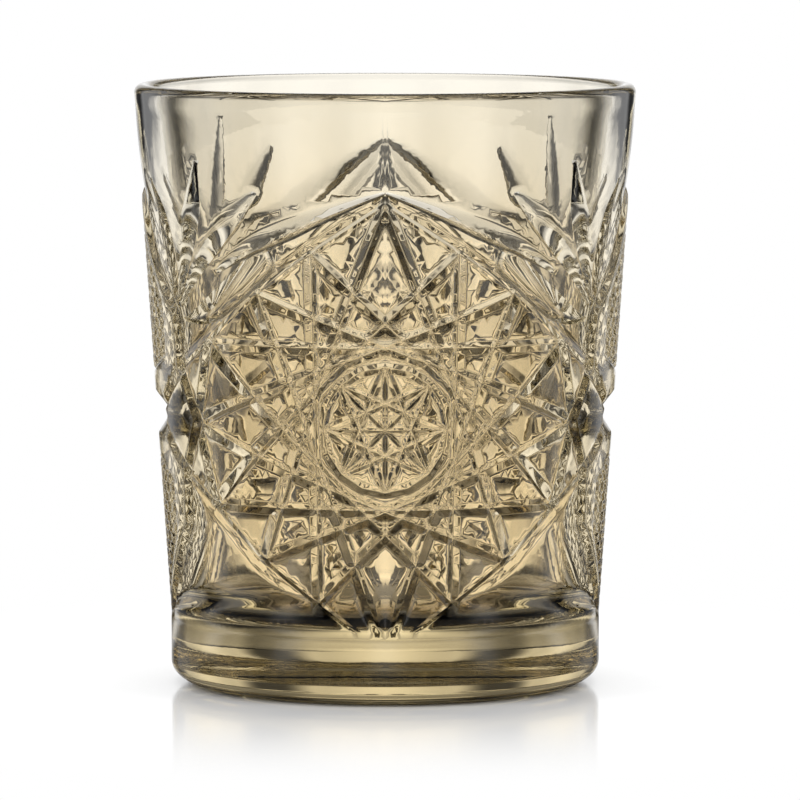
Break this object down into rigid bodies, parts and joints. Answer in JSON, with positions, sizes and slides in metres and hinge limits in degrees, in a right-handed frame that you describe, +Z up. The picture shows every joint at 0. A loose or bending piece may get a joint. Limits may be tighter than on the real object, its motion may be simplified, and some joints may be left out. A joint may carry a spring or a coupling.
{
  "type": "double old fashioned glass",
  "caption": "Heavy pressed-glass tumbler with a tapering wall, star, kite and fan relief, plain rim band and thick rounded foot, for short drinks.",
  "frame": {"origin": "centre of the standing ring on the surface that the glass stands on", "axes": "+Z up the axis of the glass, -Y towards the front, where the middle of one star is; +X and -X run through the kites"},
  "size_m": [0.0874, 0.0874, 0.105],
  "materials": {
    "glass": "gloss"
  },
  "bodies": {
    "root": {"tumbler": "glass"}
  },
  "joints": []
}
